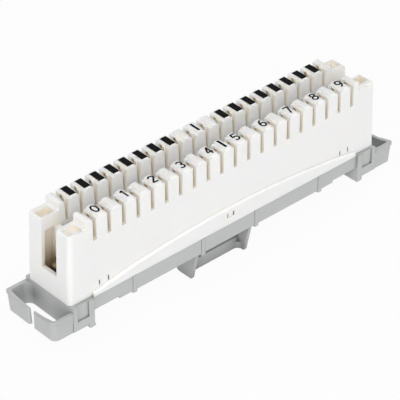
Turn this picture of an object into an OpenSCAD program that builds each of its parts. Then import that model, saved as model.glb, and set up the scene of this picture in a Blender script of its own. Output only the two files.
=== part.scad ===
// Punch-down wiring block: a ten-pair disconnection module for structured cabling.
//
// A white moulding carries two facing rows of fingers with a wire slot between
// neighbours. In every slot stands a sprung fork, set at 45 degrees to the wire,
// whose inner leaf meets the leaf of the facing fork in the middle of the block.
// A grey base closes the moulding from below, snaps on to a frame with its legs,
// guides the wires through a loop at each end and carries a cable rest below.
//
// The origin is the middle of the plane on which the base seats on its frame.
// X runs along the block, -Y is the numbered row, +Z points at the finger tops.

/* [Comb] */
// Number of wire pairs; each pair takes two slots in each row
pair_count = 10; // [6:1:12]
// Pitch of neighbouring wire slots
slot_pitch = 4.85; // [4.7:0.05:5.4]
// Width of a wire slot from the outer face to the fork
slot_w = 1.2; // [0.9:0.05:1.5]
// Width of a wire slot from the fork to the channel
slot_inner_w = 0.8; // [0.5:0.05:0.9]
// Depth of a wire slot below the finger tops
slot_depth = 7.1; // [6:0.1:8]
// Width of the flared slot mouth at the channel
mouth_w = 1.7; // [1.2:0.1:2]
// Depth of the flared slot mouth
mouth_depth = 6; // [2:0.1:6]
// Length of the flared slot mouth, measured from the channel
mouth_l = 1.5; // [0.8:0.1:2]
// Radius on the finger tops beside each slot
finger_r = 0.6; // [0.4:0.05:0.9]
// Radius on the outer top edge of each row
row_outer_r = 0.8; // [0.4:0.1:1.4]
// Radius on the inner top edge of each row
row_inner_r = 0.5; // [0.2:0.1:1]

/* [Housing] */
// Width of the housing at its foot
housing_w = 16.7; // [16:0.1:18]
// Length of the housing past the centre of the last slot, at its foot
housing_end_l = 9.15; // [9:0.05:10]
// Height of the finger tops above the housing's foot
finger_h = 24; // [22:0.5:27]
// Step from the finger tops down to the corner posts
post_step = 2.5; // [1.5:0.1:3.5]
// Lean of the end faces, in degrees
end_draft = 2; // [0.5:0.1:3]
// Lean of the long faces, in degrees
side_draft = 0.6; // [0.2:0.1:1]
// Radius of the two rounded upright corners
corner_r = 1.4; // [0.6:0.1:2]
// Radius of the other two upright corners
small_corner_r = 0.5; // [0.2:0.1:1]
// Width of the channel between the two rows
channel_w = 5.8; // [5.4:0.1:6.2]
// Depth of the channel below the finger tops, down to the contact chambers
channel_depth = 12; // [10:0.5:14]
// Thickness of the webs between neighbouring contact chambers
chamber_web = 1.1; // [0.8:0.1:1.2]

/* [Housing ends] */
// Length of the end finger past the last slot
end_finger_l = 2.1; // [1.6:0.1:3]
// Radius on the shoulder of the end finger
shoulder_r = 0.9; // [0.3:0.1:1.4]
// Width of the notch in each end wall
notch_w = 6; // [5:0.1:7]
// Height of the notch's sill above the housing's foot
sill_h = 6.6; // [5:0.1:9]
// Thickness of the end wall
end_wall = 1.2; // [1:0.1:1.6]
// Length of the end chamber at the finger tops, up to the cross wall
chamber_l = 3.1; // [2.6:0.1:3.4]
// Thickness of the cross wall that closes the channel
cross_wall = 1.7; // [1:0.1:2]
// Step from the finger tops down to the cross wall
cross_wall_step = 7; // [4:0.1:8]
// Depth of the side recess behind the posts, across the notch
recess_d = 1.2; // [0.5:0.1:1.6]
// Radius on the outer top edges of the corner posts
post_r = 0.6; // [0.3:0.1:1]
// Length of the pocket in the top of each corner post
pocket_l = 4.4; // [2:0.1:4.6]
// Width of the deep pocket, beside the notch
deep_pocket_w = 3; // [1.5:0.1:3.2]
// Depth of the deep pocket
deep_pocket_depth = 2.4; // [1:0.1:3.2]
// Thickness of the floor under the deep pocket
pocket_floor = 1.8; // [0.8:0.1:2]
// Width of the shallow pocket, beside the long face
shallow_pocket_w = 3; // [1.5:0.1:3.2]
// Depth of the shallow pocket
shallow_pocket_depth = 1.3; // [0.8:0.1:3]
// Thickness of the post's wall between a pocket and the end face or the notch
pocket_wall = 0.5; // [0.4:0.1:0.8]
// Thickness of the post's wall between the shallow pocket and the long face
pocket_side_wall = 0.8; // [0.6:0.1:1.2]
// Radius of the half-round stub on the shallow pocket's side wall
stub_r = 1; // [0.6:0.1:1.2]
// Length of the dip in each post's long edge, measured from the shoulder
dip_l = 3; // [2:0.1:4]
// Depth of the dip in each post's long edge
dip_depth = 0.5; // [0.3:0.1:0.8]

/* [Bow and snaps] */
// Height of the bow on each long face at its middle
bow_h = 5.4; // [4:0.1:6]
// Height of the bow at its two ends
bow_end_h = 1.3; // [0.8:0.1:2]
// Distance that the bow stands proud of the housing's foot
bow_proud = 0.85; // [0.4:0.05:1]
// Radius on the ridge of the bow
bow_r = 0.5; // [0.2:0.05:0.7]
// Width of the outer snap tongues
tongue_w = 2.6; // [2:0.1:3.5]
// Width of the middle snap tongue
mid_tongue_w = 1.7; // [1.2:0.1:2.5]
// Height of the slits beside a snap tongue
slit_h = 1.5; // [1.2:0.1:2.4]
// Width of the slits beside a snap tongue
slit_w = 0.45; // [0.25:0.05:0.5]
// Height of the slits' lower end above the housing's foot
slit_z = 2.3; // [1.5:0.1:2.6]
// Depth by which a snap tongue lies behind the face of the bow
tongue_recess = 0.15; // [0.1:0.05:0.4]
// Distance from the last slot in to the middle of the outer snap tongues
tongue_inset = 2.4; // [2:0.1:4]
// Width of the base's snap hooks
hook_w = 1.2; // [0.8:0.1:1.3]
// Height of the base's snap hooks above the deck
hook_h = 3.6; // [2.5:0.1:4.2]
// Thickness of the base's snap hooks
hook_t = 1; // [0.7:0.1:1.2]
// Thickness of the housing's wall in front of a snap hook
hook_wall = 0.9; // [0.7:0.1:1.1]
// Clearance round a snap hook
hook_clear = 0.3; // [0.2:0.05:0.4]
// Height of the tapered head of a snap hook
hook_head_h = 1.2; // [0.8:0.1:1.6]

/* [Contacts] */
// Thickness of the sheet that the contacts are stamped from
strip_t = 0.5; // [0.4:0.05:0.6]
// Width of the fork that cuts into the wire
fork_w = 3.8; // [3.2:0.1:4.2]
// Height of the fork above the base's deck
fork_h = 23; // [20:0.5:23.2]
// Width of the slit in the fork
fork_slit_w = 0.35; // [0.25:0.05:0.5]
// Depth of the slit in the fork
fork_slit_depth = 7.5; // [5:0.5:9]
// Width of the fork's mouth
fork_mouth_w = 1.5; // [0.8:0.1:2]
// Distance from the block's centre plane to the fork
fork_y = 5.35; // [5.2:0.05:5.6]
// Height of the web that joins the fork to its inner leaf
web_h = 6; // [4:0.5:8]
// Width of the inner leaf
leaf_w = 2.9; // [2:0.1:3.2]
// Height of the inner leaf above the deck
leaf_h = 10.5; // [9:0.5:11.5]
// Distance from the centre plane to the inner leaf
leaf_gap = 0.55; // [0.3:0.05:0.8]
// Height of the dimple at which two facing leaves meet
dimple_z = 9; // [7.5:0.1:9.5]
// Half height of the dimple
dimple_r = 0.9; // [0.6:0.1:1.2]
// Width of the dimple
dimple_w = 1.7; // [1:0.1:2]
// Running clearance of the contacts in the housing
contact_gap = 0.1; // [0.05:0.05:0.15]
// Width of the earth spring in each end chamber
earth_w = 4; // [3:0.1:5]
// Height of the earth spring above the deck
earth_h = 8.5; // [6:0.5:11]
// Distance that the earth spring's tail hangs below the deck
earth_tail = 3.6; // [2:0.1:5]
// Height of the earth spring's bent head
earth_head = 2.4; // [1.5:0.1:3]
// Height of the flared lips at the top of the earth spring
earth_lip = 1; // [0.6:0.1:1.4]
// Clearance between the earth spring and its chamber
earth_clear = 0.3; // [0.2:0.05:0.5]

/* [Base] */
// Height from the frame seat to the housing's foot
base_h = 7.5; // [6.5:0.1:9]
// Distance that the base's side walls stand proud of the housing's foot
base_proud = 0.55; // [0.3:0.05:0.8]
// Distance that the legs and end blocks stand proud of the housing's foot
end_block_proud = 1.4; // [0.9:0.1:1.8]
// Wall thickness of the base
base_wall = 1.4; // [1:0.1:1.8]
// Thickness of the deck that closes the housing
deck_t = 1.5; // [1:0.1:2]
// Depth of the side walls below the housing's foot
skirt_depth = 5.1; // [4:0.1:6]
// Depth of the side walls beside the legs
end_skirt_depth = 4.4; // [3.5:0.1:5]
// Distance from the last slot in to the shallow stretch beside the legs
end_skirt_inset = 7; // [6:0.5:8]
// Distance from the last slot in to the outer ribs
outer_rib_inset = 12.2; // [10:0.1:14]
// Distance from the middle to the inner ribs
inner_rib_x = 9.75; // [9:0.05:11]
// Width of the ribs on the side walls
rib_w = 1.3; // [0.8:0.1:2]
// Distance that the ribs stand proud of the side walls
rib_proud = 0.2; // [0.1:0.05:0.3]
// Distance that the ribs reach below the side walls
rib_drop = 0.6; // [0.2:0.1:1]

/* [Legs and loops] */
// Distance from the last slot out to the inner face of the leg
leg_inset = 2.15; // [1.8:0.05:2.4]
// Thickness of the leg
leg_t = 1.8; // [1.4:0.1:2.2]
// Distance from the end of the bow to the leg
bow_gap = 0.5; // [0.2:0.1:1]
// Distance that the leg reaches below the frame seat
leg_drop = 1.3; // [0.6:0.1:2]
// Length of each leg foot, measured across the block
leg_foot_w = 5; // [3:0.1:6]
// Distance that the nose on the foot stands proud
leg_nose = 0.3; // [0.2:0.1:0.6]
// Depth of the outer recess beside each leg
panel_recess = 0.5; // [0.2:0.1:0.7]
// Distance that a loop reaches past the housing's end
loop_l = 6.8; // [6:0.1:9]
// Step from the housing's foot down to the loop's rim
loop_step = 1.2; // [0.5:0.1:2]
// Distance that the loop reaches below the frame seat
loop_drop = 0.2; // [0:0.1:1]
// Thickness of the loop's walls below its rim
loop_wall = 0.9; // [0.7:0.1:1.4]
// Distance that the loop's walls lean in from the rim down to their foot
loop_lean = 0.4; // [0.1:0.1:0.8]
// Radius of the loop's rounded outer corner
loop_r = 2; // [1.7:0.1:3]
// Radius of the loop's other outer corner
small_loop_r = 0.8; // [0.4:0.1:1.4]
// Width of the gap in the loop's outer wall
loop_gap = 1.6; // [0.8:0.1:2]
// Radius on the edges of the gap
gap_r = 1.3; // [0.4:0.1:1.5]
// Dip of the outer wall's top from the corners to the gap
loop_dip = 1.3; // [0.5:0.1:2]
// Distance that the loop's rim stands proud
rim_proud = 0.2; // [0.1:0.05:0.3]
// Height of the loop's rim
rim_h = 0.8; // [0.4:0.1:1.5]

/* [Cable rest] */
// Depth of the cable rest below the housing's foot
rest_depth = 16.1; // [13:0.1:18]
// Distance from the middle to the outer face of each fin
fin_x = 10.3; // [9.5:0.1:11]
// Thickness of each fin
fin_t = 1.1; // [0.8:0.1:1.5]
// Distance from the centre plane to the fin's lower front corner
fin_toe_y = 4.6; // [4:0.1:5.5]
// Distance from the centre plane to the fin's front edge at the side wall
fin_front_y = 7.1; // [6.5:0.1:7.4]
// Distance that the fins reach behind the centre plane
fin_heel_y = 1.5; // [0.5:0.1:3]
// Radius of the fin's heel
fin_heel_r = 1.4; // [0.5:0.1:2]
// Height of the cross bar
bar_h = 3.6; // [2.5:0.1:5]
// Distance from the centre plane to the front of the cross bar
bar_y = 2.4; // [1.5:0.1:3]
// Thickness of the cross bar and its shelf
bar_t = 1.2; // [0.8:0.1:1.6]
// Radius between the cross bar and each fin
bar_r = 1.6; // [0.8:0.1:2]
// Height of the rounded corner below the top of the cross bar
bar_r_step = 1.4; // [0.5:0.1:2]

/* [Hidden] */
$fn = 48;
eps = 0.01;
slots = 2 * pair_count;
white = [0.93, 0.93, 0.91];
grey = [0.71, 0.73, 0.71];
brass = [0.78, 0.72, 0.52];

// Places along X
last_slot_x = (slots - 1) / 2 * slot_pitch;
housing_x = last_slot_x + housing_end_l;
shoulder_x = last_slot_x + slot_w / 2 + end_finger_l;
leg_x = last_slot_x + leg_inset;
seat_x = leg_x + leg_t;
loop_x = housing_x + loop_l;
inner_end_x = wall_in_x(finger_h);
cross_x = inner_end_x - chamber_l;
earth_x = cross_x + chamber_l / 2;
end_wall_in_x = housing_x - base_wall;

// Places along Y
channel_y = channel_w / 2;
housing_y = housing_w / 2;
base_w = housing_w + 2 * base_proud;
base_end_w = housing_w + 2 * end_block_proud;
base_end_y = base_end_w / 2;

// Depth of the room for a snap hook, with clearance before and behind it
hook_room = hook_t + 2 * hook_clear;

// Places along Z
foot_z = base_h;
top_z = foot_z + finger_h;
post_z = top_z - post_step;
slot_z = top_z - slot_depth;
recess_top_z = post_z - deep_pocket_depth - pocket_floor;
chamber_z = top_z - channel_depth;
deck_z = foot_z - deck_t;
loop_z = foot_z - loop_step;

// Radii of the corners of a loop's hollow: three small ones and a large one
loop_hole_r = 0.6;
loop_fillet_r = 2;

// Least radius on a slot's lip
min_lip_r = 0.1;

// Height by which the ribs stay below the housing's bow
rib_step = 0.2;

// Height of the arch between the two feet of a leg, above the frame seat
arch_h = 2.6;

// Height of the ledge under the recess beside each leg
panel_z = 2.7;

// Distance that an end face or a long face leans in at height h above the foot
function end_lean(h) = h * tan(end_draft);
function side_lean(h) = h * tan(side_draft);

// Place along X of the end wall's inner face at height h, parallel with the end face
function wall_in_x(h) = housing_x - end_lean(h) - end_wall;

// Radius that ends a slot's rounded lip on the same line for every slot width w
function lip_r(w) = max((slot_w - w) / 2 + finger_r, min_lip_r);
function slot_x(i) = (i - (slots - 1) / 2) * slot_pitch;

// ---------------------------------------------------------------- helpers

// A block centred on X and Y, standing on z = 0
module post(l, w, h) {
    translate([-l / 2, -w / 2, 0])
        cube([l, w, h]);
}

// Children drawn in the X-Z plane, extruded by w along Y about the centre plane
module along_y(w) {
    translate([0, w / 2, 0])
        rotate([90, 0, 0])
            linear_extrude(w)
                children();
}

// Children drawn in the Y-Z plane, extruded by l along X about the middle
module along_x(l) {
    translate([-l / 2, 0, 0])
        rotate([90, 0, 90])
            linear_extrude(l)
                children();
}

// Children and their mirror image across a plane
module both(axis) {
    children();
    mirror(axis)
        children();
}

// Outline that rounds an outer top edge at the origin, whose side leans by a
module edge_cut(r, a = 0) {
    centre_x = -r * tan((90 - a) / 2);
    translate([centre_x, -r])
        difference() {
            polygon([
                [0, 0],
                [0, r + 1],
                [r + 2, r + 1],
                [(r + 2) * cos(a), (r + 2) * sin(a)]
            ]);
            circle(r);
        }
}

// Children and their copy turned half round the upright axis
module twice() {
    children();
    rotate([0, 0, 180])
        children();
}

// What a fillet of radius r fills of a corner at the origin
module fillet_plan(r) {
    difference() {
        translate([-1, -1])
            square(r + 1);
        translate([r, r])
            circle(r);
    }
}

// A rectangle centred on the origin, with radius r on the front left and rear
// right corners, and small_r on the other two
module rounded_plate(l, w, r, small_r) {
    difference() {
        square([l, w], center = true);
        twice() {
            translate([-l / 2, -w / 2])
                fillet_plan(r);
            translate([l / 2, -w / 2])
                mirror([1, 0])
                    fillet_plan(small_r);
        }
    }
}

// ---------------------------------------------------------------- housing

// The leaning outer block, up to the finger tops
module housing_block() {
    hull() {
        translate([0, 0, foot_z])
            linear_extrude(eps)
                rounded_plate(2 * housing_x, housing_w, corner_r, small_corner_r, $fn = 32);
        translate([0, 0, top_z - eps])
            linear_extrude(eps)
                rounded_plate(
                    2 * (housing_x - end_lean(finger_h)),
                    housing_w - 2 * side_lean(finger_h),
                    corner_r, small_corner_r, $fn = 32
                );
    }
}

// The bowed plate low on each long face, with a rounded ridge
module bow() {
    half = leg_x - bow_gap;
    rise = bow_h - bow_end_h;
    ridge_r = (half * half + rise * rise) / (2 * rise);
    intersection() {
        translate([0, 0, foot_z + bow_h - ridge_r])
            rotate([90, 0, 0])
                rotate_extrude($fn = 720)
                    translate([ridge_r, 0])
                        bow_section(ridge_r);
        translate([0, 0, foot_z])
            post(2 * half, 4 * housing_w, bow_h + 1);
    }
}

// Section of the bow: its rim is at x = 0 and it is symmetric about y = 0
module bow_section(ridge_r) {
    half_w = housing_y + bow_proud;
    translate([-2 * bow_h, -half_w + bow_r])
        square([2 * bow_h, 2 * (half_w - bow_r)]);
    translate([-2 * bow_h, -half_w])
        square([2 * bow_h - bow_r, 2 * half_w]);
    both([0, 1])
        translate([-bow_r, half_w - bow_r])
            circle(bow_r);
}

// Outline in X-Z of one wire slot, with rounded lips at the finger tops
module slot_outline(w) {
    translate([-w / 2, slot_z])
        square([w, slot_depth + 1]);
    both([1, 0])
        translate([w / 2, top_z])
            mirror([1, 0])
                edge_cut(lip_r(w));
}

// Flared mouth of a slot at the channel
module mouth_outline() {
    polygon([
        [-mouth_w / 2, top_z + 1],
        [-mouth_w / 2, top_z - lip_r(mouth_w)],
        [-slot_inner_w / 2, top_z - mouth_depth],
        [slot_inner_w / 2, top_z - mouth_depth],
        [mouth_w / 2, top_z - lip_r(mouth_w)],
        [mouth_w / 2, top_z + 1]
    ]);
    both([1, 0])
        translate([mouth_w / 2, top_z])
            mirror([1, 0])
                edge_cut(lip_r(mouth_w));
}

// Everything cut for one slot of the rear row, with the slot's centre at x = 0
module slot_cut() {
    outer_l = housing_y - fork_y + 1;
    inner_l = fork_y - channel_y + eps;
    translate([0, fork_y + outer_l / 2, 0])
        along_y(outer_l)
            slot_outline(slot_w);
    translate([0, channel_y - eps + inner_l / 2, 0])
        along_y(inner_l)
            slot_outline(slot_inner_w);
    translate([0, channel_y + mouth_l / 2 - eps, 0])
        along_y(mouth_l)
            mouth_outline();
    contact_room();
}

// The room that one contact of the rear row needs in the housing
module contact_room() {
    room_t = strip_t + 2 * contact_gap;
    translate([0, fork_y, foot_z - eps])
        rotate([0, 0, 45])
            post(fork_w + 2 * contact_gap, room_t, fork_h + contact_gap);
    translate([bend_x() - room_t / 2, channel_y - eps, foot_z - eps])
        cube([room_t, bend_y() + room_t / 2 - channel_y, web_h + contact_gap]);
}

// The chamber in which two facing leaves meet
module contact_chamber() {
    translate([0, 0, foot_z - eps])
        post(slot_pitch - chamber_web, channel_w - 2 * eps, chamber_z - foot_z + 1);
}

// The two rows as seen along X: the channel and the rounded row edges
module channel_cut() {
    lean = side_lean(finger_h);
    along_x(2 * (cross_x - cross_wall))
        translate([-channel_y, chamber_z])
            square([channel_w, channel_depth + 1]);
    along_x(2 * housing_x) {
        both([1, 0])
            translate([housing_y - lean, top_z])
                edge_cut(row_outer_r, side_draft);
    }
    along_x(2 * (cross_x - cross_wall)) {
        both([1, 0])
            translate([channel_y, top_z])
                mirror([1, 0])
                    edge_cut(row_inner_r);
    }
}

// The step from the end finger to the corner posts, with a rounded shoulder
module shoulder_cut() {
    step_l = housing_x - shoulder_x + 1;
    translate([shoulder_x, -housing_w, post_z])
        cube([step_l, 2 * housing_w, post_step + 1]);
    along_y(2 * housing_w)
        translate([shoulder_x, top_z])
            edge_cut(shoulder_r);
}

// The rounded outer top edges of the right-hand corner posts
module post_edge_cut() {
    lean_h = finger_h - post_step;
    along_y(2 * housing_w)
        translate([housing_x - end_lean(lean_h), post_z])
            edge_cut(post_r, end_draft);
    translate([shoulder_x + housing_w, 0, 0])
        along_x(2 * housing_w)
            both([1, 0])
                translate([housing_y - side_lean(lean_h), post_z])
                    edge_cut(post_r, side_draft);
}

// Room between the cross wall and the end wall, w wide and up to height h
module end_room(w, h) {
    along_y(w)
        polygon([
            [cross_x, foot_z - eps],
            [wall_in_x(0), foot_z - eps],
            [wall_in_x(h), foot_z + h],
            [cross_x, foot_z + h]
        ]);
}

// The notch, chamber and side recesses of the right-hand end
module end_cut() {
    notch_l = housing_x - inner_end_x + 1;
    translate([inner_end_x - eps, -notch_w / 2, foot_z + sill_h])
        cube([notch_l, notch_w, finger_h]);
    end_room(notch_w, finger_h + 1);
    end_room(notch_w + 2 * recess_d, recess_top_z - foot_z);
    translate([cross_x - cross_wall - eps, -channel_y, top_z - cross_wall_step])
        cube([cross_wall + 2 * eps, channel_w, cross_wall_step + 1]);
}

// The deep pocket of the front right post, beside the notch
module deep_pocket_cut() {
    pocket_x = housing_x - end_lean(finger_h - post_step) - pocket_wall - pocket_l;
    translate([pocket_x, -notch_w / 2 - pocket_wall - deep_pocket_w, post_z - deep_pocket_depth])
        cube([pocket_l, deep_pocket_w, deep_pocket_depth + 1]);
}

// The shallow pocket of the rear right post, beside the long face
module shallow_pocket_cut() {
    pocket_x = housing_x - end_lean(finger_h - post_step) - pocket_wall - pocket_l;
    long_face_y = housing_y - side_lean(finger_h - post_step);
    pocket_y = long_face_y - pocket_side_wall - shallow_pocket_w;
    translate([pocket_x, pocket_y, post_z - shallow_pocket_depth])
        difference() {
            cube([pocket_l, shallow_pocket_w, shallow_pocket_depth + 1]);
            translate([pocket_l / 2, shallow_pocket_w, -eps])
                cylinder(r = stub_r, h = shallow_pocket_depth + eps);
        }
}

// The dip in the long edge of the rear right post, beside the shoulder
module dip_cut() {
    dip_w = pocket_side_wall + side_lean(finger_h);
    translate([shoulder_x - eps, housing_y - dip_w, post_z - dip_depth])
        cube([dip_l, 2 * dip_w, dip_depth + 1]);
}

// The slits beside one snap tongue of the rear face, and the hook's room behind
module snap_cut(w) {
    wall_y = housing_y - hook_wall;
    both([1, 0, 0])
        translate([w / 2, wall_y - eps, foot_z + slit_z])
            cube([slit_w, hook_wall + bow_proud + 1, slit_h]);
    translate([-w / 2 - eps, housing_y + bow_proud - tongue_recess, foot_z + slit_z])
        cube([w + 2 * eps, bow_proud, slit_h]);
    translate([-w / 2 - slit_w, wall_y - hook_room, foot_z - eps])
        cube([w + 2 * slit_w, hook_room, hook_h + hook_clear + eps]);
}

// Places of the three snaps along X, with the width of each tongue
snap_places = [
    [-last_slot_x + tongue_inset, tongue_w],
    [0, mid_tongue_w],
    [last_slot_x - tongue_inset, tongue_w]
];

module housing() {
    color(white)
        difference() {
            union() {
                housing_block();
                bow();
            }
            channel_cut();
            for (i = [0:slots - 1])
                translate([slot_x(i), 0, 0]) {
                    slot_cut();
                    rotate([0, 0, 180])
                        slot_cut();
                    contact_chamber();
                }
            both([1, 0, 0]) {
                shoulder_cut();
                post_edge_cut();
                end_cut();
                both([0, 1, 0])
                    dip_cut();
            }
            twice() {
                deep_pocket_cut();
                shallow_pocket_cut();
            }
            for (place = snap_places)
                translate([place[0], 0, 0])
                    both([0, 1, 0])
                        snap_cut(place[1]);
        }
}

// ---------------------------------------------------------------- contacts

// Where the fork's plate bends into the web, relative to the slot's centre
function bend_x() = -fork_w / 2 * cos(45);
function bend_y() = fork_y - fork_w / 2 * sin(45);

// The fork, drawn flat in X-Z: two tines with a flared mouth
module fork_outline() {
    difference() {
        translate([-fork_w / 2, 0])
            square([fork_w, fork_h]);
        translate([-fork_slit_w / 2, fork_h - fork_slit_depth])
            square([fork_slit_w, fork_slit_depth + 1]);
        polygon([
            [-fork_mouth_w / 2, fork_h + eps],
            [0, fork_h - fork_mouth_w],
            [fork_mouth_w / 2, fork_h + eps]
        ]);
    }
}

// Plan of the strip from the fork's bend to the leaf
module web_plan() {
    leaf_mid_y = leaf_gap + strip_t / 2;
    translate([bend_x() - strip_t / 2, leaf_mid_y])
        square([strip_t, bend_y() - leaf_mid_y]);
    translate([bend_x(), bend_y()])
        circle(d = strip_t);
    translate([bend_x(), leaf_mid_y])
        circle(d = strip_t);
    translate([bend_x(), leaf_gap])
        square([strip_t, strip_t]);
}

// One contact of the rear row, stamped and bent from one strip
module contact() {
    color(brass)
        translate([0, 0, foot_z]) {
            translate([0, fork_y, 0])
                rotate([0, 0, 45])
                    along_y(strip_t)
                        fork_outline();
            linear_extrude(web_h)
                web_plan();
            translate([bend_x(), leaf_gap, 0])
                cube([leaf_w, strip_t, leaf_h]);
            translate([bend_x() + leaf_w / 2, 0, dimple_z])
                along_x(dimple_w)
                    polygon([
                        [leaf_gap + eps, -dimple_r],
                        [0, -dimple_r / 3],
                        [0, dimple_r / 3],
                        [leaf_gap + eps, dimple_r]
                    ]);
        }
}

module rear_contact(i) {
    translate([slot_x(i), 0, 0])
        contact();
}

module front_contact(i) {
    translate([slot_x(i), 0, 0])
        rotate([0, 0, 180])
            contact();
}

// One half of the earth spring's U, seen along Y: it leans in to a flared lip
module earth_leaf() {
    half_l = chamber_l / 2 - earth_clear;
    bend_z = earth_h - earth_head;
    neck_z = earth_h - earth_lip;
    polygon([
        [half_l, 0],
        [half_l, bend_z],
        [contact_gap + strip_t, neck_z],
        [2 * strip_t, earth_h],
        [strip_t, earth_h],
        [contact_gap, neck_z],
        [half_l - strip_t, bend_z],
        [half_l - strip_t, strip_t],
        [-eps, strip_t],
        [-eps, 0]
    ]);
}

// The earth spring of the right-hand end: a U with two split leaves and a tail
module earth_spring() {
    color(brass)
        translate([earth_x, 0, foot_z])
            difference() {
                union() {
                    along_y(earth_w)
                        both([1, 0])
                            earth_leaf();
                    translate([0, 0, -earth_tail])
                        post(strip_t, earth_w / 2, earth_tail + eps);
                }
                translate([0, 0, earth_h / 4])
                    post(2 * chamber_l, strip_t, earth_h);
            }
}

module earth_spring_right() {
    earth_spring();
}

module earth_spring_left() {
    mirror([1, 0, 0])
        earth_spring();
}

// ---------------------------------------------------------------- base

// The tray between the legs: deck, side walls and their shallow ends
module tray() {
    tray_x = leg_x + eps;
    shallow_x = last_slot_x - end_skirt_inset;
    difference() {
        translate([0, 0, foot_z - skirt_depth])
            post(2 * tray_x, base_w, skirt_depth);
        translate([0, 0, foot_z - skirt_depth - eps])
            post(2 * leg_x - 2 * base_wall, base_w - 2 * base_wall, skirt_depth - deck_t);
        both([1, 0, 0])
            translate([shallow_x, -base_w, foot_z - skirt_depth - eps])
                cube([leg_x, 2 * base_w, skirt_depth - end_skirt_depth + eps]);
    }
}

// A rib across the tray that shows on both side walls
module rib(x) {
    translate([x, 0, foot_z - skirt_depth - rib_drop])
        post(rib_w, base_w + 2 * rib_proud, skirt_depth + rib_drop - rib_step);
}

// Side view of one leg, with its snap nose
module leg_outline() {
    polygon([
        [leg_x, foot_z],
        [leg_x, -leg_drop + 4 * leg_nose],
        [leg_x - leg_nose, -leg_drop + leg_nose],
        [leg_x - leg_nose / 2, -leg_drop],
        [seat_x - leg_nose, -leg_drop],
        [seat_x, -leg_drop + leg_nose],
        [seat_x, foot_z]
    ]);
}

// The right-hand leg, cut away between its two feet
module leg() {
    difference() {
        along_y(base_end_w)
            leg_outline();
        translate([leg_x, 0, -leg_drop - 1])
            post(4 * leg_t, base_end_w - 2 * leg_foot_w, leg_drop + 1 + arch_h);
    }
}

// Plan of the loop from from_x on, inset from its rim and leaning in by lean
module loop_plan(from_x, inset, lean = 0) {
    l = 2 * (loop_x - inset - lean);
    w = base_end_w + 2 * (rim_proud - inset - lean);
    intersection() {
        rounded_plate(l, w, loop_r - inset, small_loop_r - inset);
        translate([from_x, -base_end_w])
            square([2 * loop_l, 2 * base_end_w]);
    }
}

// Plan of the loop's hollow, whose outer walls lean in by lean
module loop_hole_plan(lean = 0) {
    hole_l = loop_l - rim_proud - loop_wall - lean;
    hole_w = base_end_w - 2 * loop_wall - 2 * lean;
    difference() {
        translate([housing_x + hole_l / 2, 0])
            rounded_plate(hole_l, hole_w, loop_hole_r, loop_hole_r);
        translate([housing_x, -hole_w / 2])
            fillet_plan(loop_fillet_r);
    }
}

// Plan of the gap in the loop's outer wall, flared outwards by round edges
module loop_gap_plan() {
    wall_x = loop_x - rim_proud - loop_wall - loop_lean;
    translate([wall_x - 1, -loop_gap / 2])
        square([loop_x - wall_x + 2, loop_gap]);
    translate([loop_x, 0])
        both([0, 1])
            difference() {
                translate([-gap_r - rim_proud, loop_gap / 2 - eps])
                    square([gap_r + rim_proud + 1, gap_r]);
                translate([-gap_r - rim_proud, loop_gap / 2 + gap_r])
                    circle(gap_r);
            }
}

// The shallow arc that dips the top of the outer wall towards the gap
module loop_dip_cut() {
    half = base_end_w / 2 - loop_wall;
    dip_r = (half * half + loop_dip * loop_dip) / (2 * loop_dip);
    translate([loop_x, 0, loop_z - loop_dip + dip_r])
        rotate([0, 90, 0])
            cylinder(r = dip_r, h = loop_l, center = true, $fn = 180);
}

// The loop's walls without their rim: they lean in from the top to the foot
module loop_body() {
    hull() {
        translate([0, 0, loop_z - eps])
            linear_extrude(eps)
                loop_plan(end_wall_in_x, rim_proud, $fn = 32);
        translate([0, 0, -loop_drop])
            linear_extrude(eps)
                loop_plan(end_wall_in_x, rim_proud, loop_lean, $fn = 32);
    }
}

// The loop's hollow, which leans in with its walls
module loop_hollow() {
    hull() {
        translate([0, 0, loop_z])
            linear_extrude(eps)
                loop_hole_plan($fn = 32);
        translate([0, 0, -loop_drop - eps])
            linear_extrude(eps)
                loop_hole_plan(loop_lean, $fn = 32);
    }
}

// The loop beyond the housing's end, with its rim, hollow, gap and dip
module loop() {
    difference() {
        union() {
            loop_body();
            translate([0, 0, loop_z - rim_h])
                linear_extrude(rim_h)
                    loop_plan(housing_x, 0);
        }
        loop_hollow();
        translate([0, 0, -loop_drop - eps])
            linear_extrude(foot_z + 1)
                loop_gap_plan();
        loop_dip_cut();
    }
}

// The block under the housing's end, which straddles the frame's rail
module end_block() {
    rail_l = end_wall_in_x - seat_x;
    difference() {
        translate([leg_x, -base_end_y, 0])
            cube([housing_x - leg_x, base_end_w, foot_z]);
        translate([leg_x - eps, -base_end_y + base_wall, -eps])
            cube([end_wall_in_x - leg_x + eps, base_end_w - 2 * base_wall, deck_z + eps]);
        both([0, 1, 0])
            translate([seat_x, base_end_y - panel_recess, panel_z])
                cube([rail_l, panel_recess + 1, foot_z]);
    }
}

// Side view of one fin of the cable rest, in Y-Z
module fin_outline() {
    low_z = foot_z - rest_depth;
    wall_z = foot_z - skirt_depth;
    difference() {
        polygon([
            [-fin_front_y, deck_z + eps],
            [-fin_front_y, wall_z],
            [-fin_toe_y, low_z],
            [fin_heel_y, low_z],
            [fin_heel_y, deck_z + eps]
        ]);
        translate([fin_heel_y, low_z])
            mirror([0, 1])
                edge_cut(fin_heel_r);
    }
}

// Section of the cross bar: a front plate with a shelf behind its top
module bar_outline() {
    low_z = foot_z - rest_depth;
    translate([-bar_y, low_z])
        square([bar_t, bar_h]);
    translate([-bar_y, low_z + bar_h - bar_t])
        square([bar_y + fin_heel_y - eps, bar_t]);
}

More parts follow.
